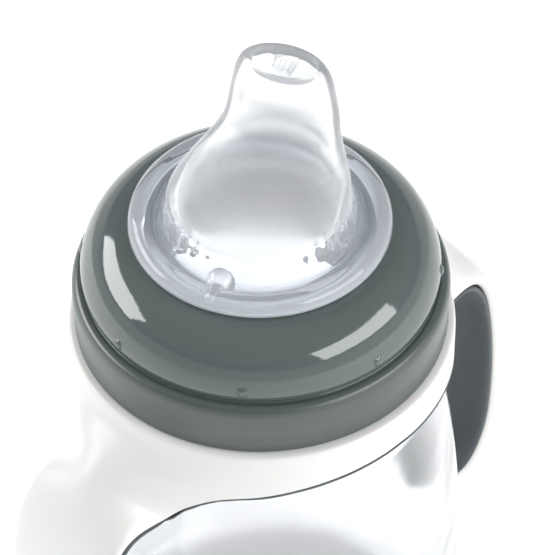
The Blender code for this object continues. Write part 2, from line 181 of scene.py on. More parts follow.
class Nodes:
    """Short names for building one material's node tree."""

    def __init__(self, name):
        self.material = bpy.data.materials.new(name)
        self.material.use_nodes = True
        self.tree = self.material.node_tree
        self.shader = self.tree.nodes["Principled BSDF"]

    def set(self, **values):
        for socket, value in values.items():
            self.shader.inputs[socket.replace("_", " ")].default_value = value

    def add(self, kind, **values):
        node = self.tree.nodes.new(kind)
        for key, value in values.items():
            if key in node.inputs:
                node.inputs[key].default_value = value
            else:
                setattr(node, key, value)
        return node

    def link(self, out, into):
        self.tree.links.new(out, into)

    def place(self):
        """Object coordinates in metres, the same in every view and pose."""
        return self.add("ShaderNodeTexCoord").outputs["Object"]

    def height(self):
        """Height above the seat in millimetres."""
        split = self.add("ShaderNodeSeparateXYZ")
        self.link(self.place(), split.inputs[0])
        lift = self.add("ShaderNodeMath", operation="MULTIPLY_ADD")
        lift.inputs[1].default_value = 1 / MM
        lift.inputs[2].default_value = -SEAT / MM
        self.link(split.outputs["Z"], lift.inputs[0])
        return lift.outputs[0]

    def noise(self, scale, detail=3.0, roughness=0.55):
        node = self.add("ShaderNodeTexNoise", Scale=scale, Detail=detail, Roughness=roughness)
        self.link(self.place(), node.inputs["Vector"])
        return node.outputs["Fac"]

    def remap(self, value, low, high, new_low, new_high, smooth=False):
        node = self.add("ShaderNodeMapRange", clamp=True)
        node.interpolation_type = "SMOOTHSTEP" if smooth else "LINEAR"
        node.inputs["From Min"].default_value = low
        node.inputs["From Max"].default_value = high
        node.inputs["To Min"].default_value = new_low
        node.inputs["To Max"].default_value = new_high
        self.link(value, node.inputs["Value"])
        return node.outputs["Result"]

    def mix(self, fac, colour_a, colour_b):
        node = self.add("ShaderNodeMix", data_type="RGBA")
        node.inputs["A"].default_value = (*colour_a, 1.0)
        node.inputs["B"].default_value = (*colour_b, 1.0)
        self.link(fac, node.inputs["Factor"])
        return node.outputs["Result"]

    def bump(self, height, distance, strength=1.0):
        node = self.add("ShaderNodeBump", Distance=distance, Strength=strength)
        self.link(height, node.inputs["Height"])
        self.link(node.outputs["Normal"], self.shader.inputs["Normal"])


def clear_bottle_material():
    """Clear polypropylene with a faint milky unevenness and fine moulding ripples."""
    nodes = Nodes("clear_plastic")
    nodes.set(IOR=1.49, Transmission_Weight=1.0, Metallic=0.0)
    colour = nodes.mix(nodes.noise(60.0), (0.925, 0.93, 0.94), (0.885, 0.89, 0.90))
    nodes.link(colour, nodes.shader.inputs["Base Color"])
    nodes.link(nodes.remap(nodes.noise(35.0), 0.3, 0.7, 0.05, 0.12), nodes.shader.inputs["Roughness"])
    nodes.bump(nodes.noise(45.0, 2.0), 0.0004, 0.5)
    return nodes.material


def white_material():
    """Satin moulded plastic in warm white."""
    nodes = Nodes("white_plastic")
    nodes.set(IOR=1.5, Metallic=0.0, Subsurface_Weight=0.12, Subsurface_Scale=0.002)
    colour = nodes.mix(nodes.noise(90.0), (0.655, 0.65, 0.632), (0.635, 0.63, 0.612))
    nodes.link(colour, nodes.shader.inputs["Base Color"])
    nodes.link(nodes.remap(nodes.noise(300.0), 0.3, 0.7, 0.30, 0.38), nodes.shader.inputs["Roughness"])
    nodes.bump(nodes.noise(2200.0, 2.0), 0.00003, 0.35)
    return nodes.material


def soft_grey_material():
    """Matt soft-touch elastomer with a fine grain."""
    nodes = Nodes("grey_soft")
    nodes.set(IOR=1.5, Metallic=0.0)
    colour = nodes.mix(nodes.noise(120.0), (0.085, 0.100, 0.105), (0.075, 0.089, 0.094))
    nodes.link(colour, nodes.shader.inputs["Base Color"])
    nodes.link(nodes.remap(nodes.noise(500.0), 0.3, 0.7, 0.48, 0.62), nodes.shader.inputs["Roughness"])
    nodes.bump(nodes.noise(2600.0, 2.0), 0.00004, 0.4)
    return nodes.material


def ring_material():
    """Dark grey-green plastic: polished dome, satin skirt; the skirt's colour is painted darker as painted
    shade, though it is the same plastic as the dome.
    """
    nodes = Nodes("grey_plastic")
    nodes.set(IOR=1.6, Metallic=0.0)
    dome = nodes.remap(nodes.height(), SATIN_TOP, POLISH_LOW, 0.0, 1.0)
    # Painted shade: below the groove the colour is darker than on the dome; the noise adds a random tone.
    tone_and_painted_shade = nodes.add("ShaderNodeMath", operation="MULTIPLY_ADD")
    tone_and_painted_shade.inputs[1].default_value = 0.2
    nodes.link(nodes.noise(80.0), tone_and_painted_shade.inputs[0])
    nodes.link(nodes.remap(dome, 0.0, 1.0, 0.0, 0.8), tone_and_painted_shade.inputs[2])
    colour = nodes.mix(tone_and_painted_shade.outputs[0], (0.042, 0.054, 0.052), (0.076, 0.097, 0.092))
    nodes.link(colour, nodes.shader.inputs["Base Color"])
    nodes.link(nodes.remap(dome, 0.0, 1.0, 0.38, 0.07), nodes.shader.inputs["Roughness"])
    nodes.bump(nodes.noise(1500.0, 2.0), 0.00002, 0.25)
    return nodes.material


def silicone_material():
    """Milky inside the ring, clear from the bead up, frosted above FROST_Z and milkiest just there, where
    a painted shade also greys its colour and fades out higher up.
    """
    nodes = Nodes("silicone")
    nodes.set(IOR=1.41, Metallic=0.0)
    frost = nodes.remap(nodes.height(), FROST_Z - 0.4, FROST_Z + 0.3, 0.0, 1.0, True)
    tint = nodes.remap(nodes.noise(50.0), 0.3, 0.7, -0.02, 0.02)
    level = nodes.add("ShaderNodeMath", operation="ADD")
    nodes.link(frost, level.inputs[0])
    nodes.link(tint, level.inputs[1])
    colour = nodes.mix(level.outputs[0], (0.93, 0.96, 1.0), (0.985, 0.99, 0.995))
    # Painted shade: just above FROST_Z the colour turns grey and fades back out by FROST_Z + 9 mm; the
    # same mask lets less light pass there.
    fade = nodes.remap(nodes.height(), FROST_Z + 1.0, FROST_Z + 9.0, 1.0, 0.0)
    milky_and_painted_shade = nodes.add("ShaderNodeMath", operation="MULTIPLY")
    nodes.link(frost, milky_and_painted_shade.inputs[0])
    nodes.link(fade, milky_and_painted_shade.inputs[1])
    with_painted_shade = nodes.mix(milky_and_painted_shade.outputs[0], (1.0, 1.0, 1.0), (0.86, 0.87, 0.885))
    nodes.link(colour, with_painted_shade.node.inputs["A"])
    nodes.link(with_painted_shade, nodes.shader.inputs["Base Color"])
    nodes.link(nodes.remap(frost, 0.0, 1.0, 0.03, 0.24), nodes.shader.inputs["Roughness"])
    clear = nodes.add("ShaderNodeMath", operation="ADD")
    nodes.link(nodes.remap(frost, 0.0, 1.0, 0.0, FROST_CLEARER), clear.inputs[0])
    bead = nodes.remap(nodes.height(), *CLEAR_FROM_TO, MILKY_CLEARNESS, CLEARNESS)
    nodes.link(bead, clear.inputs[1])
    passing = nodes.add("ShaderNodeMath", operation="MULTIPLY_ADD")
    nodes.link(milky_and_painted_shade.outputs[0], passing.inputs[0])
    passing.inputs[1].default_value = -FROST_MILKIER
    nodes.link(clear.outputs[0], passing.inputs[2])
    nodes.link(passing.outputs[0], nodes.shader.inputs["Transmission Weight"])
    nodes.bump(nodes.noise(400.0, 2.0), 0.00004, 0.3)
    return nodes.material


# ---------------------------------------------------------------- bottle

# Outer wall below the neck: radius, height.
SHOULDER = [
    (28.9, -2.9), (30.4, -3.1), (32.0, -3.7), (33.2, -5.4), (33.75, -8.5), (34.3, -14.0),
    (35.0, -21.0), (35.9, -28.0), (36.9, -36.0), (37.6, -44.0), (38.15, -54.0), (BODY_R, -64.0),
    (BODY_R, -76.0), (BODY_R, -88.0), (38.1, -95.0), (37.6, -99.0), (36.6, -101.6),
    (34.6, -103.3), (31.5, BASE_Z),
]
NECK_R = 28.6
NECK_BORE_R = 26.5
NECK_WALL_LOW, NECK_WALL_HIGH, NECK_ROWS = -2.4, 17.0, 64
WALL, FLOOR = 2.0, 2.6
BOTTLE_SEGMENTS = 128
THREAD_LEAD = 6.0
NECK_THREAD = {"z_start": 4.0, "lead": THREAD_LEAD, "turns": 1.25, "half_width": 0.65}
NECK_RIDGE = 1.5


def bottle_radius(z):
    """Outer radius of the bottle at a height, straight between the wall's points."""
    for (r0, z0), (r1, z1) in zip(SHOULDER, SHOULDER[1:]):
        if z >= z1:
            return r0 + (r1 - r0) * min(1.0, (z0 - z) / (z0 - z1))
    return SHOULDER[-1][0]


def build_bottle(material):
    def shift(r, z, angle):
        if r > NECK_R - 0.05 and -2.0 < z < NECK_TOP - 0.5:
            r += NECK_RIDGE * ridge_height(z, angle, **NECK_THREAD)
        return r, z

    rim = rounded([(NECK_BORE_R, 16.0), (NECK_BORE_R, NECK_TOP, 0.7), (NECK_R, NECK_TOP, 0.7),
                   (NECK_R, NECK_WALL_HIGH)])
    drop = (NECK_WALL_HIGH - NECK_WALL_LOW) / NECK_ROWS
    neck = [Vector((NECK_R, NECK_WALL_HIGH - drop * i)) for i in range(1, NECK_ROWS + 1)]
    outside = [Vector((min(r, BODY_R), z)) for r, z in spline(SHOULDER, 5)]
    inside = [(r - WALL, z) for r, z in spline(SHOULDER[5:16], 5)][::-1]
    floor = [(0.0, BASE_Z), (0.0, BASE_Z + FLOOR)]
    floor_edge = spline([(30.0, BASE_Z + FLOOR), (32.6, -101.0), (34.4, -99.8), (35.3, -98.6)], 3)
    throat = spline([(32.0, -12.6), (31.7, -10.0), (30.9, -7.9), (29.2, -6.5), (27.6, -5.6),
                     (26.7, -4.4), (NECK_BORE_R, -2.8)], 4)
    profile = rim + neck + outside + floor + floor_edge + inside + throat
    bm = turned(profile, even_angles(BOTTLE_SEGMENTS), shift)
    bottle = to_object("bottle", bm, [material])
    finish_piece(bottle, "bottle", "clear_plastic", "bottle_body")


# ---------------------------------------------------------------- screw ring

RING_BORE_R = 30.7
BORE_LOW, BORE_HIGH, BORE_ROWS = 0.8, 12.0, 36
RING_RIDGE = 1.5
RING_THREAD = {"z_start": 2.5, "lead": THREAD_LEAD, "turns": 0.75, "half_width": 0.65}
RING_THREAD_START = math.radians(90.0)
LIP_R = 21.6
PIP_FIRST = math.radians(39.7)
PIP_COUNT = 8
PIP_Z = 14.0
PIP_R = 1.0
PIP_HEIGHT = 0.45
PIP_REACH = math.radians(2.6)        # half the angle with close columns about each pip
PIP_COLUMNS, BETWEEN_COLUMNS = 15, 15
SATIN_TOP, POLISH_LOW = 10.4, 11.2   # the finish changes between these heights, in the groove, and below them the ring's colour is painted darker as painted shade


def ring_angles():
    """Close together across each pip, wider between."""
    pitch = math.tau / PIP_COUNT
    half = (PIP_COLUMNS - 1) / 2
    across = [PIP_REACH * (i / half - 1.0) for i in range(PIP_COLUMNS)]
    between = [PIP_REACH + (pitch - 2 * PIP_REACH) * i / BETWEEN_COLUMNS
               for i in range(1, BETWEEN_COLUMNS)]
    return [PIP_FIRST + pitch * n + offset for n in range(PIP_COUNT) for offset in across + between]


def build_ring(material):
    def shift(r, z, angle):
        if r < RING_BORE_R + 0.05 and BORE_LOW < z < BORE_HIGH:
            turn = (angle - RING_THREAD_START) % math.tau
            return r - RING_RIDGE * ridge_height(z, turn, **RING_THREAD), z
        if r > 32.5 and abs(z - PIP_Z) < PIP_R:
            pitch = math.tau / PIP_COUNT
            off = (angle - PIP_FIRST + pitch / 2) % pitch - pitch / 2
            near = 1.0 - ((off * r) ** 2 + (z - PIP_Z) ** 2) / PIP_R ** 2
            if near > 0.0:
                return r + PIP_HEIGHT * math.sqrt(near), z
        return r, z

    skirt = rounded([(32.5, 0.0), (34.25, 0.0, 0.45), (34.7, 4.0)], 4)[:-1]
    skirt += spline([(34.62, 3.0), (34.93, 6.0), (SKIRT_R, 8.0), (34.98, 9.2), (34.75, 10.0)], 4)
    ledge = spline([(34.75, 10.0), (34.4, 10.5), (33.9, 10.8), (33.4, 10.9), (33.0, 10.85)], 4)
    groove = spline([(33.0, 10.85), (32.75, 10.95), (32.7, 11.2), (32.8, 11.5), (33.05, 11.75)], 3)
    dome = spline([(33.1, 11.95), (33.25, 12.8), (33.25, 13.8), (33.05, 15.0), (32.6, 16.5), (31.8, 18.2),
                   (30.7, 19.8), (29.2, 21.2), (27.6, 22.3), (25.9, 23.0), (24.3, LIP_TOP)], 8)
    lip = rounded([(24.3, LIP_TOP), (LIP_R, LIP_TOP, 0.5), (LIP_R, 20.7, 0.4), (28.2, 20.7)], 4)
    crown = spline([(28.2, 20.7), (28.9, 20.4), (29.6, 19.7), (30.2, 18.5), (30.55, 17.0),
                    (RING_BORE_R, 15.5), (RING_BORE_R, BORE_HIGH)], 4)
    drop = (BORE_HIGH - BORE_LOW) / BORE_ROWS
    bore = [Vector((RING_BORE_R, BORE_HIGH - drop * i)) for i in range(1, BORE_ROWS + 1)]
    mouth = rounded([(RING_BORE_R, BORE_LOW), (31.2, 0.0, 0.3), (32.5, 0.0)], 3)
    profile = skirt + ledge[1:] + groove[1:] + dome + lip[1:] + crown[1:] + bore + mouth[1:-1]
    ring = to_object("ring", turned(profile, ring_angles(), shift), [material])
    finish_piece(ring, "ring", "grey_plastic", "screw_ring")


# ---------------------------------------------------------------- drinking spout

SPOUT_LEAN = math.radians(23.0)
LEAN_DIR = Vector((math.cos(SPOUT_LEAN), math.sin(SPOUT_LEAN), 0.0))
ACROSS = Vector((-LEAN_DIR.y, LEAN_DIR.x, 0.0))
FROST_Z = 31.0
CLEAR_FROM_TO = (22.2, 25.2)                # heights over which milky silicone turns clear
MILKY_CLEARNESS, CLEARNESS = 0.26, 0.82     # how much light passes below and above them
FROST_CLEARER, FROST_MILKIER = 0.08, 0.22   # what the frosting adds, and takes away just above FROST_Z
SPOUT_SEGMENTS = 216
RIB_COUNT, RIB_DEPTH = 36, 0.12   # fine upright ribs on the inside of the clear wall
RIB_LOW, RIB_HIGH = 26.4, 30.2

# Round lower part of the outside: radius, height.
STEM = [(17.5, FLANGE_Z, 0), (28.0, FLANGE_Z, 0.5), (28.0, 20.35, 0.5), (21.2, 20.35, 0.3),
        (21.2, 23.5, 0.2), (22.9, 23.5, 0)]
BEAD = [
    (23.4, 23.5), (23.9, 23.65), (24.15, 24.1), (24.1, 24.9), (23.75, 25.7), (23.1, 26.35),
    (22.2, 26.75), (21.3, 26.8), (20.5, 26.4), (19.8, 25.6), (19.3, 24.8), (18.9, 24.4),
    (18.5, 24.7), (18.25, 25.6),
]
# The spout above: height, lean, half length, half width.
SPOUT_OUTSIDE = [
    (26.6, 0.0, 18.0, 18.0), (29.0, 0.0, 17.4, 17.4), (30.6, 0.1, 16.9, 16.9),
    (31.7, 1.2, 16.2, 16.0), (33.0, 3.5, 15.1, 14.5), (35.0, 6.75, 13.45, 11.2),
    (37.0, 9.4, 12.0, 8.6), (39.5, 11.1, 11.05, 6.9), (43.0, 11.9, 10.55, 6.1),
    (47.0, 12.05, 9.9, 5.6), (50.3, 12.1, 9.25, 5.2), (52.0, 12.15, 8.5, 4.8),
    (52.9, 12.2, 7.7, 4.4), (53.2, 12.25, 7.0, 4.1), (53.0, 12.25, 6.4, 3.8),
    (52.2, 12.25, 6.1, 3.5),
]
SPOUT_INSIDE = [
    (51.0, 12.25, 5.9, 3.3), (50.2, 12.1, 6.8, 3.6), (47.0, 11.95, 7.7, 3.95),
    (42.5, 11.8, 8.3, 4.2), (38.35, 10.85, 9.0, 5.15), (35.4, 8.75, 10.3, 7.15),
    (33.3, 5.9, 11.8, 9.8), (31.3, 2.35, 13.9, 12.85), (29.8, 0.15, 14.8, 14.75),
    (28.4, 0.0, 15.4, 15.4), (26.0, 0.0, 16.2, 16.2), (23.0, 0.0, 16.9, 16.9),
    (19.0, 0.0, 17.4, 17.4),
]
VENT_R = 18.6
VENT_BALL_R = 2.7
VENT_Z = 25.6
VENT_STRETCH = 1.15
LEG_LENGTH, LEG_INNER_R, LEG_OUTER_R = 4.9, 2.25, 0.55
LEG_OUT, LEG_LIFT = 2.65, 0.45       # its middle, from the vent pip's
SLIT_COUNT, SLIT_PITCH, SLIT_LENGTH, SLIT_WIDTH = 5, 0.95, 2.6, 0.14
SLIT_LEAN, SLIT_Z, SLIT_HEIGHT = 12.25, 52.15, 0.7


def spout_loop(z, lean, half_length, half_width, ribs=0.0):
    centre = LEAN_DIR * lean + Vector((0.0, 0.0, z))
    loop = []
    for angle in even_angles(SPOUT_SEGMENTS):
        rib = ribs * RIB_DEPTH * (0.5 - 0.5 * math.cos(RIB_COUNT * angle))
        loop.append(centre + ACROSS * ((half_length - rib) * math.cos(angle))
                    + LEAN_DIR * ((half_width - rib) * math.sin(angle)))
    return loop


def ball(name, radius, centre, stretch):
    bm = bmesh.new()
    bmesh.ops.create_icosphere(bm, subdivisions=4, radius=radius)
    bmesh.ops.scale(bm, vec=(1, 1, stretch), verts=bm.verts)
    bmesh.ops.translate(bm, vec=centre, verts=bm.verts)
    return to_object(name, bm, [])


def vent_leg(vent):
    """A tapering rib from the vent pip out over the bead."""
    bm = bmesh.new()
    bmesh.ops.create_cone(
        bm, cap_ends=True, segments=48, radius1=LEG_INNER_R, radius2=LEG_OUTER_R, depth=LEG_LENGTH
    )
    bmesh.ops.rotate(bm, verts=bm.verts, cent=(0, 0, 0), matrix=Matrix.Rotation(-math.pi / 2, 3, "Y"))
    bmesh.ops.rotate(bm, verts=bm.verts, cent=(0, 0, 0), matrix=Matrix.Rotation(SPOUT_LEAN, 3, "Z"))
    bmesh.ops.translate(bm, verts=bm.verts, vec=vent - LEAN_DIR * LEG_OUT + Vector((0, 0, LEG_LIFT)))
    return to_object("vent_leg", bm, [])


def boxes(name, size, centres, turn):
    bm = bmesh.new()
    for centre in centres:
        made = bmesh.ops.create_cube(bm, size=1.0)["verts"]
        bmesh.ops.scale(bm, vec=size, verts=made)
        bmesh.ops.rotate(bm, verts=made, cent=(0, 0, 0), matrix=Matrix.Rotation(turn, 3, "Z"))
        bmesh.ops.translate(bm, vec=centre, verts=made)
    return to_object(name, bm, [])


def combine(obj, tool, operation):
    """Applies an exact Boolean and removes its tool."""
    modifier = obj.modifiers.new(tool.name, "BOOLEAN")
    modifier.operation = operation
    modifier.solver = "EXACT"
    modifier.object = tool
    graph = bpy.context.evaluated_depsgraph_get()
    made = bpy.data.meshes.new_from_object(obj.evaluated_get(graph))
    obj.modifiers.remove(modifier)
    obj.data = made
    bpy.data.objects.remove(tool)


def build_spout(material):
    round_part = rounded(STEM, 4)[1:] + spline(BEAD, 5)
    loops = [(z, 0.0, r, r) for r, z in round_part] + spline(SPOUT_OUTSIDE, 6)
    tip = len(loops)
    for loop in spline(SPOUT_INSIDE, 5):
        ribs = min(1.0, max(0.0, min(loop[0] - RIB_LOW, RIB_HIGH - loop[0])))
        loops.append((*loop, ribs))
    bm = bmesh.new()
    rows = [[bm.verts.new(point) for point in spout_loop(*loop)] for loop in loops]
    bm.faces.new(rows[tip - 1])
    bm.faces.new(rows[tip])
    pairs = [(i, i + 1) for i in range(len(rows) - 1) if i != tip - 1] + [(len(rows) - 1, 0)]
    for low, high in pairs:
        for i in range(SPOUT_SEGMENTS):
            j = (i + 1) % SPOUT_SEGMENTS
            bm.faces.new((rows[low][i], rows[low][j], rows[high][j], rows[high][i]))
    spout = to_object("spout", bm, [material])

    vent = LEAN_DIR * -VENT_R + Vector((0.0, 0.0, VENT_Z))
    combine(spout, ball("vent", VENT_BALL_R, vent, VENT_STRETCH), "UNION")
    combine(spout, vent_leg(vent), "UNION")
    centres = [LEAN_DIR * SLIT_LEAN + ACROSS * (SLIT_PITCH * (i - (SLIT_COUNT - 1) / 2))
               + Vector((0.0, 0.0, SLIT_Z)) for i in range(SLIT_COUNT)]
    slits = boxes("slits", (SLIT_LENGTH, SLIT_WIDTH, SLIT_HEIGHT), centres, SPOUT_LEAN)
    combine(spout, slits, "DIFFERENCE")
    finish_piece(spout, "spout", "silicone", "drinking_spout")


# ---------------------------------------------------------------- handles

# One half-petal of the frame. Collar rows: outer middle x, z; edge angle, radius, z; inner middle z.
COLLAR_ROWS = [
    (36.4, -0.9, 90.0, 36.3, -0.9, -2.6),
    (36.65, -1.7, 90.0, 36.35, -2.6, -4.2),
    (36.95, -2.4, 90.0, 36.35, -4.6, -5.8),
    (37.4, -3.1, 90.0, 36.35, -6.6, -7.3),
    (37.9, -3.7, 90.0, 36.25, -8.4, -8.7),
    (38.4, -4.2, 78.0, 36.2, -8.8, -9.8),
    (38.95, -4.75, 66.0, 36.2, -9.4, -10.9),
    (39.55, -5.3, 55.0, 36.25, -10.2, -12.1),
    (40.2, -5.85, 46.0, 36.3, -11.2, -13.5),
    (40.9, -6.45, 38.5, 36.4, -11.6, -14.4),
    (41.65, -7.1, 32.0, 36.6, -12.6, -15.5),
    (42.55, -7.85, 27.0, 36.9, -14.4, -16.6),
]
# Arm rows: outer middle x, z; outer edge x, y, z; inner middle x, z; inner edge x, y, z.
ARM_ROWS = [
    (43.6, -8.8, 34.8, 14.2, -16.3, 36.5, -17.6, 34.4, 13.2, -16.7),
    (44.9, -10.1, 36.9, 13.1, -17.6, 38.6, -18.2, 37.0, 12.2, -18.1),
    (46.4, -11.8, 39.9, 12.5, -17.7, 41.3, -18.0, 40.0, 11.7, -18.3),
    (48.2, -14.0, 43.3, 12.2, -17.4, 44.0, -18.2, 43.2, 11.5, -18.2),
    (50.2, -16.9, 46.6, 12.1, -18.1, 46.8, -19.2, 46.2, 11.4, -18.9),
    (52.3, -20.7, 49.5, 12.1, -20.6, 49.1, -22.0, 48.7, 11.5, -21.2),
    (54.4, -26.0, 51.6, 12.1, -25.3, 50.9, -26.6, 50.6, 11.6, -25.7),
    (56.1, -32.2, 53.0, 12.0, -31.6, 52.0, -32.4, 51.9, 11.6, -31.9),
    (57.2, -40.0, 54.1, 11.8, -39.4, 53.1, -40.0, 53.0, 11.4, -39.6),
    (57.6, -48.6, 54.9, 11.5, -48.0, 53.9, -48.4, 53.8, 11.1, -48.1),
    (57.6, -57.4, 55.2, 11.1, -57.0, 54.2, -57.2, 54.1, 10.7, -57.0),
    (57.3, -65.7, 55.0, 10.7, -65.4, 54.0, -65.4, 53.9, 10.3, -65.2),
    (56.2, -72.5, 53.8, 10.1, -72.0, 52.9, -71.8, 52.7, 9.7, -71.6),
    (54.6, -78.4, 52.0, 9.2, -77.8, 51.3, -77.6, 51.0, 8.8, -77.2),
    (52.75, -83.1, 50.4, 7.6, -82.0, 49.8, -82.0, 49.4, 7.2, -81.4),
    (50.85, -86.6, 49.0, 4.9, -85.4, 48.5, -85.4, 48.2, 4.5, -84.6),
    (49.5, -88.6, 48.6, 2.2, -87.8, 47.9, -87.2, 47.9, 2.0, -86.8),
]
# Finger side of each grip: middle x, z; edge x, y, z. One row per arm row, from the second on.
GRIP_FRONT = [
    (38.5, -19.5, 37.1, 12.8, -18.75),
    (41.0, -19.9, 40.0, 12.4, -18.9),
    (43.2, -20.6, 43.0, 12.1, -18.85),
    (45.2, -22.0, 45.7, 12.0, -19.5),
    (46.9, -24.7, 48.1, 12.0, -21.9),
    (48.3, -28.6, 50.0, 12.0, -26.3),
    (49.4, -33.8, 51.3, 11.9, -32.3),
    (50.3, -40.7, 52.4, 11.7, -39.8),
    (50.9, -48.6, 53.2, 11.4, -48.2),
    (51.2, -57.2, 53.5, 11.0, -57.0),
    (50.9, -65.3, 53.3, 10.6, -65.2),
    (49.8, -71.6, 52.1, 10.0, -71.5),
    (48.0, -77.2, 50.4, 9.1, -77.0),
    (46.4, -81.6, 48.8, 7.5, -81.1),
    (45.3, -84.8, 47.6, 4.8, -84.2),
    (45.2, -86.4, 46.9, 2.2, -86.3),
]
PETAL_COLUMNS = 24
SIDE_SEAM_ROW = 4                # from this row down, the frame's outside and inside meet at its edges
FLANGE_R, FLANGE_LOW, FLANGE_TOP, TOP_EDGE_R = 29.3, -2.6, -0.35, 35.8
# How squarely a cross-section falls to its edges, from the collar down to the arm.
COLLAR_FALL, ROOT_FALL, ARM_FALL, ARM_FALL_STEP = 2.0, 1.2, 0.4, 0.16
COLLAR_CLEARANCE = 1.25
LINER_GAP, LINER_THICK, LINER_LIP = 0.3, 0.6, 0.45
LINER_TOP, LIP_INSET, LINER_SEGMENTS = -4.4, 0.15, 144
# The liner's lip under each arm's root, out to where the grip takes over: angle, radius, z.
LIP_AT_ROOT = [(13.0, 36.2, -19.6), (15.0, 37.6, -19.4), (16.8, 39.7, -19.0), (18.2, 39.6, -18.7),
               (19.4, 39.1, -18.35), (22.2, 37.4, -16.8)]
GRIP_GAP = 0.35


def across_petal():
    """Positions across a petal from -1 to 1, closer together near its edges."""
    steps = [2.0 * i / PETAL_COLUMNS - 1.0 for i in range(PETAL_COLUMNS + 1)]
    return [0.5 * step + 0.5 * math.sin(math.pi * step / 2) for step in steps]


def falling(across, power):
    """1 in the middle, 0 at the edge; a low power keeps it high until near the edge."""
    return max(0.0, math.cos(math.pi * across / 2)) ** power


def collar_point(row, u, inner, fall):
    """A point of the frame's collar part, u from -1 to 1 across the petal."""
    mid_x, mid_z, edge_deg, edge_r, edge_z, inner_z = row
    angle = math.radians(edge_deg * u)
    sweep = math.sin(math.pi * u / 2) ** 2
    if inner:
        z = inner_z + (min(edge_z, -2.6) - inner_z) * sweep
        r = max(34.9, bottle_radius(z) + COLLAR_CLEARANCE)
    else:
        z = mid_z + (edge_z - mid_z) * sweep
        spread = min(1.0, abs(edge_deg * u) / min(edge_deg, 45.0))
        r = edge_r + (mid_x - edge_r) * falling(spread, fall)
    return Vector((r * math.cos(angle), r * math.sin(angle), z))


def arm_point(row, u, inner, fall=1.0):
    """A point of the frame's arm: pillowed outside, nearly flat inside."""
    if inner:
        mid_x, mid_z, edge_x, edge_y, edge_z = row[5:]
        return Vector((mid_x + (edge_x - mid_x) * u * u, edge_y * u,
                       mid_z + (edge_z - mid_z) * u * u))
    mid_x, mid_z, edge_x, edge_y, edge_z = row[:5]
    drop = 1.0 - falling(abs(u), fall)
    return Vector((mid_x + (edge_x - mid_x) * drop, edge_y * math.sin(math.pi * u / 2),
                   mid_z + (edge_z - mid_z) * drop))


def petal_sheet(inner):
    """Rows of points of one handle's half of the frame, top edge first."""
    sheet = []
    for i, row in enumerate(COLLAR_ROWS):
        below_seam = (i - SIDE_SEAM_ROW) / (len(COLLAR_ROWS) - 1 - SIDE_SEAM_ROW)
        fall = COLLAR_FALL - max(0.0, below_seam) * (COLLAR_FALL - ROOT_FALL)
        sheet.append([collar_point(row, u, inner, fall) for u in across_petal()])
    for i, row in enumerate(ARM_ROWS):
        weight = 1.0 if inner else min(1.0, (i + 1) / 4)
        fall = max(ARM_FALL, ROOT_FALL - ARM_FALL_STEP * i)
        as_collar = (row[0], row[1], math.degrees(math.atan2(row[3], row[2])),
                     math.hypot(row[2], row[3]), row[4], row[6])
        sheet.append([
            arm_point(row, u, inner, fall) * weight
            + collar_point(as_collar, u, False, ROOT_FALL) * (1.0 - weight)
            for u in across_petal()
        ])
    return sheet


def collar_arc(radius, z):
    quarter = math.pi / 2
    return [Vector((radius * math.cos(quarter * u), radius * math.sin(quarter * u), z))
            for u in across_petal()]


def build_frame(material):
    bm = bmesh.new()
    outside = petal_sheet(inner=False)
    inside = petal_sheet(inner=True)
    flange = [collar_arc(FLANGE_R, FLANGE_LOW), collar_arc(FLANGE_R, FLANGE_TOP),
              collar_arc(TOP_EDGE_R, FLANGE_TOP)]
    for turn in (0.0, math.pi):
        place = Matrix.Rotation(turn, 3, "Z")
        out_rows, in_rows, flange_rows = (
            [[bm.verts.new(place @ point) for point in row] for row in sheet]
            for sheet in (outside, inside, flange)
        )
        chain = in_rows[::-1] + flange_rows + out_rows
        for low, high in zip(chain, chain[1:]):
            for i in range(PETAL_COLUMNS):
                bm.faces.new((low[i], low[i + 1], high[i + 1], high[i]))
        for i in range(PETAL_COLUMNS):
            bm.faces.new((in_rows[-1][i], in_rows[-1][i + 1], out_rows[-1][i + 1], out_rows[-1][i]))
        for v in range(SIDE_SEAM_ROW, len(out_rows) - 1):
            for end in (0, PETAL_COLUMNS):
                bm.faces.new(
                    (out_rows[v][end], out_rows[v + 1][end], in_rows[v + 1][end], in_rows[v][end])
                )
    handles = to_object("handle_shell", bm, [material], 180.0)
    subdivide(handles, 2)
    finish_piece(handles, "handles", "white_plastic", "handle_frame")


def build_grip(name, turn, material, node):
    """Soft lining of one arm: its back follows the arm's inside, its front is rounded."""
    bm = bmesh.new()
    across = across_petal()[::3]
    place = Matrix.Rotation(turn, 3, "Z")
    rows = []
    for row, front in zip(ARM_ROWS[1:], GRIP_FRONT):
        mid = Vector((row[5], 0.0, row[6]))
        inward = Vector((front[0] - mid.x, 0.0, front[1] - mid.z)).normalized() * GRIP_GAP
        back = [arm_point(row, u, True) + inward for u in across]
        for point in (back[0], back[-1]):
            point.y *= (front[3] - GRIP_GAP) / row[8]
        face = [arm_point(front, u, False) for u in across[::-1]]
        rows.append([bm.verts.new(place @ point) for point in back + face])
    count = len(rows[0])
    for low, high in zip(rows, rows[1:]):
        for i in range(count):
            j = (i + 1) % count
            bm.faces.new((low[i], low[j], high[j], high[i]))
    for end in (rows[0], rows[-1]):
        for i in range(len(across) - 1):
            bm.faces.new((end[i], end[i + 1], end[-2 - i], end[-1 - i]))
    grip = to_object(name, bm, [material], 180.0)
    subdivide(grip, 2)
    finish_piece(grip, "handles", "grey_soft", node)


def arch_edge(angle):
    """Radius and height of the collar's lower edge at an angle round the cup."""
    degrees = abs(math.degrees(angle)) % 180.0
    folded = min(degrees, 180.0 - degrees)
    edge = LIP_AT_ROOT + [row[2:5] for row in COLLAR_ROWS[:SIDE_SEAM_ROW - 1:-1]]
    if folded <= edge[0][0]:
        return edge[0][1:]
    for (a0, r0, z0), (a1, r1, z1) in zip(edge, edge[1:]):
        if folded <= a1:
            part = (folded - a0) / (a1 - a0)
            return r0 + (r1 - r0) * part, z0 + (z1 - z0) * part
    return edge[-1][1:]


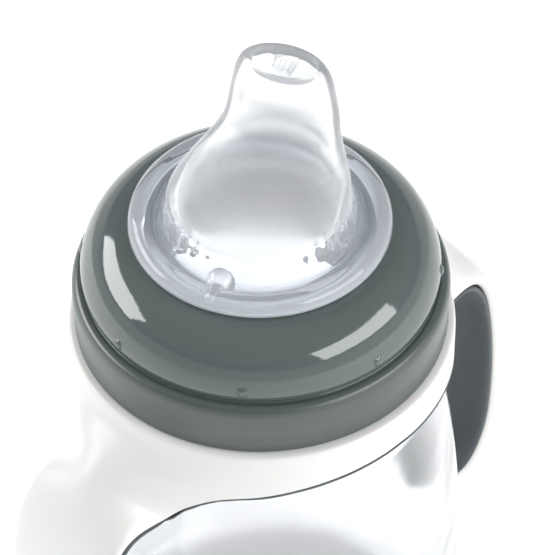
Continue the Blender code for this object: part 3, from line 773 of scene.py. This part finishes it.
def build_liner(material):
    """A thin sleeve inside the collar, turned out under its arched lower edge."""
    bm = bmesh.new()
    columns = []
    for angle in even_angles(LINER_SEGMENTS):
        edge_r, edge_z = arch_edge(angle)
        lip, low = edge_r - LIP_INSET, edge_z - LIP_INSET
        heights = [LINER_TOP, LINER_TOP - 1.0, (low + LINER_TOP - 1.0) / 2, low]
        section = [(bottle_radius(z) + LINER_GAP + LINER_THICK, z) for z in heights]
        section += [(lip - 0.05, low), (lip, low - 0.2), (lip - 0.1, low - LINER_LIP)]
        heights[-1] -= LINER_LIP
        section += [(bottle_radius(z) + LINER_GAP, z) for z in heights[::-1]]
        columns.append([
            bm.verts.new((r * math.cos(angle), r * math.sin(angle), z)) for r, z in section
        ])
    for here, there in zip(columns, columns[1:] + columns[:1]):
        for i in range(len(here)):
            j = (i + 1) % len(here)
            bm.faces.new((here[i], here[j], there[j], there[i]))
    liner = to_object("collar_seal", bm, [material])
    finish_piece(liner, "handles", "grey_soft", "collar_liner")


# ---------------------------------------------------------------- studio

ELEVATION = math.radians(46.87)
AZIMUTH = math.radians(226.0)
DISTANCE = 0.700
LENS = 243.4
AIM_RIGHT, AIM_UP = 0.0030, 0.0062
ROLL = math.radians(-0.67)
FLOOR_RADIUS, FLOOR_DROP = 3.0, 0.0002
# Name, azimuth from the camera's side, elevation, distance, width, height, power.
LIGHTS = [("key", -108.0, 27.0, 0.9, 0.80, 0.34, 7.0), ("fill", 60.0, 27.0, 0.9, 0.85, 0.40, 7.5)]


def look_at(obj, target, roll=0.0):
    direction = Vector(target) - obj.location
    turn = direction.to_track_quat("-Z", "Y").to_matrix() @ Matrix.Rotation(roll, 3, "Z")
    obj.rotation_euler = turn.to_euler()


def build_camera():
    data = bpy.data.cameras.new("camera")
    data.lens = LENS
    data.sensor_width = 36.0
    data.clip_start, data.clip_end = 0.05, 20.0
    camera = bpy.data.objects.new("camera", data)
    bpy.context.scene.collection.objects.link(camera)
    seat = Vector((0.0, 0.0, SEAT))
    back = Vector((math.cos(AZIMUTH) * math.cos(ELEVATION),
                   math.sin(AZIMUTH) * math.cos(ELEVATION), math.sin(ELEVATION)))
    camera.location = seat + back * DISTANCE
    look_at(camera, seat, ROLL)
    axes = camera.rotation_euler.to_matrix()
    look_at(camera, seat + axes.col[0] * AIM_RIGHT + axes.col[1] * AIM_UP, ROLL)
    bpy.context.scene.camera = camera


def area_light(name, azimuth, elevation, distance, width, height, power):
    """A softbox on a sphere about the cup, facing it. Azimuth is counted from the camera's side."""
    data = bpy.data.lights.new(name, "AREA")
    data.shape = "RECTANGLE"
    data.size, data.size_y = width, height
    data.energy = power
    light = bpy.data.objects.new(name, data)
    bpy.context.scene.collection.objects.link(light)
    azimuth = AZIMUTH + math.radians(azimuth)
    elevation = math.radians(elevation)
    centre = Vector((0.0, 0.0, SEAT))
    light.location = centre + distance * Vector((
        math.cos(azimuth) * math.cos(elevation), math.sin(azimuth) * math.cos(elevation),
        math.sin(elevation)))
    look_at(light, centre)


def build_floor():
    nodes = Nodes("floor_white")
    colour = nodes.mix(nodes.noise(8.0), (0.93, 0.93, 0.93), (0.92, 0.92, 0.92))
    nodes.link(colour, nodes.shader.inputs["Base Color"])
    nodes.set(Roughness=0.7, Emission_Strength=0.35)
    nodes.shader.inputs["Emission Color"].default_value = (1.0, 1.0, 1.0, 1.0)
    bm = bmesh.new()
    bmesh.ops.create_circle(bm, cap_ends=True, segments=96, radius=FLOOR_RADIUS)
    mesh = bpy.data.meshes.new("floor")
    bm.to_mesh(mesh)
    bm.free()
    mesh.materials.append(nodes.material)
    floor = bpy.data.objects.new("floor", mesh)
    floor.location.z = BOTTLE_LOW.z - FLOOR_DROP
    bpy.context.scene.collection.objects.link(floor)


# Studio sky by the sine of the elevation: a pale horizon, a dimmer surround, a pale ceiling.
SKY = [(0.0, (0.88, 0.88, 0.88)), (0.13, (0.86, 0.86, 0.87)), (0.24, (0.26, 0.31, 0.38)),
       (0.45, (0.46, 0.48, 0.51)), (1.0, (0.62, 0.62, 0.62))]


def build_world():
    world = bpy.data.worlds.new("studio")
    world.use_nodes = True
    tree = world.node_tree
    background = tree.nodes["Background"]
    split = tree.nodes.new("ShaderNodeSeparateXYZ")
    tree.links.new(tree.nodes.new("ShaderNodeTexCoord").outputs["Generated"], split.inputs[0])
    ramp = tree.nodes.new("ShaderNodeValToRGB")
    stops = ramp.color_ramp.elements
    while len(stops) < len(SKY):
        stops.new(0.5)
    for stop, (position, colour) in zip(stops, SKY):
        stop.position = position
        stop.color = (*colour, 1.0)
    tree.links.new(split.outputs["Z"], ramp.inputs["Fac"])
    tree.links.new(ramp.outputs["Color"], background.inputs["Color"])
    background.inputs["Strength"].default_value = 1.0
    bpy.context.scene.world = world
    bpy.context.scene.view_settings.view_transform = "Standard"


def main():
    build_bottle(clear_bottle_material())
    build_frame(white_material())
    soft_grey = soft_grey_material()
    build_liner(soft_grey)
    build_grip("soft_grip_right", 0.0, soft_grey, "grip_right")
    build_grip("soft_grip_left", math.pi, soft_grey, "grip_left")
    build_ring(ring_material())
    build_spout(silicone_material())
    build_camera()
    build_floor()
    build_world()
    for light in LIGHTS:
        area_light(*light)


main()
